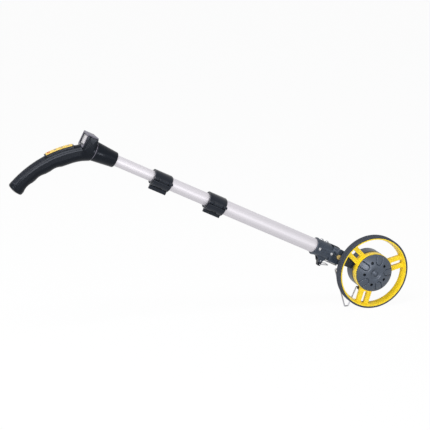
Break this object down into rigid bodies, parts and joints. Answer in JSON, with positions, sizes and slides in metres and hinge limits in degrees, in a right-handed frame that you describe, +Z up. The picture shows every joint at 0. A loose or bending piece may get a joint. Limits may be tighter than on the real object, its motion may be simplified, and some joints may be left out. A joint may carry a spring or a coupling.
{
  "type": "digital measuring wheel",
  "caption": "Folding measuring wheel: a spoked wheel with a rubber tyre on a telescopic shaft, with a curved grip, control strip and small display at the top.",
  "frame": {"origin": "where the tyre meets the ground, under the middle of the wheel", "axes": "+X horizontal, from the handle towards the wheel; +Y along the axle, away from the domed face of the wheel; +Z up"},
  "size_m": [0.8441, 0.07, 0.4237],
  "materials": {
    "tyre_rubber": "dark slate rubber with fine rings",
    "yellow_plastic": "moulded yellow, satin gloss",
    "slate_plastic": "moulded slate grey, satin",
    "black_plastic": "moulded near-black, satin",
    "grip_rubber": "near-black, ribbed",
    "steel": "zinc plated",
    "tube_aluminium": "pale anodised",
    "brass": "plain",
    "bonded_magnet": "plastic bonded ferrite",
    "circuit_laminate": "green solder mask",
    "cell_jacket": "plain jacket, no label",
    "red_plastic": "moulded red",
    "grey_plastic": "moulded grey-mauve",
    "clear_window": "clear acrylic",
    "lcd_face": "pale reflective liquid-crystal face, blank"
  },
  "bodies": {
    "shaft": {"fold_socket": "black_plastic", "socket_rivets": "tube_aluminium", "fold_pin": "brass", "latch_pin": "steel", "lower_tube": "tube_aluminium", "lower_clamp": "black_plastic", "lower_clamp_pin": "steel"},
    "lower_lever": {"lower_clamp_lever": "black_plastic"},
    "latch": {"latch_lever": "black_plastic", "latch_hook": "steel", "latch_bail": "steel"},
    "middle": {"middle_tube": "tube_aluminium", "middle_bush": "black_plastic", "upper_clamp": "black_plastic", "upper_clamp_pin": "steel"},
    "upper_lever": {"upper_clamp_lever": "black_plastic"},
    "handle": {"upper_tube": "tube_aluminium", "upper_bush": "black_plastic", "handle_collar": "black_plastic", "collar_screw": "steel", "handle_shell_near": "black_plastic", "handle_shell_far": "black_plastic", "handle_screws": "steel", "grip_pad": "grip_rubber", "battery_cap": "black_plastic", "batteries": "cell_jacket", "control_strip": "yellow_plastic", "display_bezel": "grey_plastic", "display_window": "clear_window", "lcd_panel": "lcd_face", "circuit_board": "circuit_laminate"},
    "power_key": {"power_key": "red_plastic"},
    "key_a": {"key_a": "grey_plastic"},
    "key_b": {"key_b": "grey_plastic"},
    "key_c": {"key_c": "grey_plastic"},
    "arm": {"hub_housing": "black_plastic", "housing_cover": "black_plastic", "housing_screws": "steel", "axle": "steel", "axle_nut": "steel", "sensor_board": "circuit_laminate"},
    "kickstand": {"kickstand": "steel"},
    "wheel": {"wheel": "yellow_plastic", "tyre": "tyre_rubber", "hub_cover": "slate_plastic", "hub_screws": "steel", "front_bearing": "steel", "rear_bearing": "steel", "bearing_spacer": "steel", "magnet_ring": "bonded_magnet"}
  },
  "joints": [
    {"name": "wheel_spin", "type": "hinge", "parent": "arm", "child": "wheel", "pos_m": [0, 0, 0.07958], "axis": [0, 1, 0], "continuous": true},
    {"name": "arm_fold", "type": "hinge", "parent": "shaft", "child": "arm", "pos_m": [-0.07277, 0.03, 0.11518], "axis": [0, -1, 0], "range_deg": [0, 120]},
    {"name": "kickstand_swing", "type": "hinge", "parent": "arm", "child": "kickstand", "pos_m": [-0.07991, 0.0175, 0.09254], "axis": [0.7361, 0, -0.6768], "range_deg": [0, 70]},
    {"name": "latch_release", "type": "hinge", "parent": "shaft", "child": "latch", "pos_m": [-0.11097, 0.03, 0.10867], "axis": [0, 1, 0], "range_deg": [0, 12], "stiffness_Nm_per_rad": 0.3, "springref_deg": -11.46},
    {"name": "middle_slide", "type": "slide", "parent": "shaft", "child": "middle", "axis": [-0.8894, 0, 0.4571], "range_m": [-0.08, 0.1]},
    {"name": "upper_slide", "type": "slide", "parent": "middle", "child": "handle", "axis": [-0.8894, 0, 0.4571], "range_m": [-0.078, 0.09]},
    {"name": "lower_lever_flip", "type": "hinge", "parent": "shaft", "child": "lower_lever", "pos_m": [-0.34314, 0.01005, 0.25526], "axis": [-0.8894, 0, 0.4571], "range_deg": [0, 110]},
    {"name": "upper_lever_flip", "type": "hinge", "parent": "middle", "child": "upper_lever", "pos_m": [-0.45699, 0.01205, 0.31376], "axis": [-0.8894, 0, 0.4571], "range_deg": [0, 110]},
    {"name": "power_key_press", "type": "slide", "parent": "handle", "child": "power_key", "axis": [0.3616, 0, -0.9323], "range_m": [0, 0.0008], "stiffness_N_per_m": 800, "springref_m": -0.0005},
    {"name": "key_a_press", "type": "slide", "parent": "handle", "child": "key_a", "axis": [0.3024, 0, -0.9532], "range_m": [0, 0.0008], "stiffness_N_per_m": 800, "springref_m": -0.0005},
    {"name": "key_b_press", "type": "slide", "parent": "handle", "child": "key_b", "axis": [0.2419, 0, -0.9703], "range_m": [0, 0.0008], "stiffness_N_per_m": 800, "springref_m": -0.0005},
    {"name": "key_c_press", "type": "slide", "parent": "handle", "child": "key_c", "axis": [0.1805, 0, -0.9836], "range_m": [0, 0.0008], "stiffness_N_per_m": 800, "springref_m": -0.0005}
  ]
}
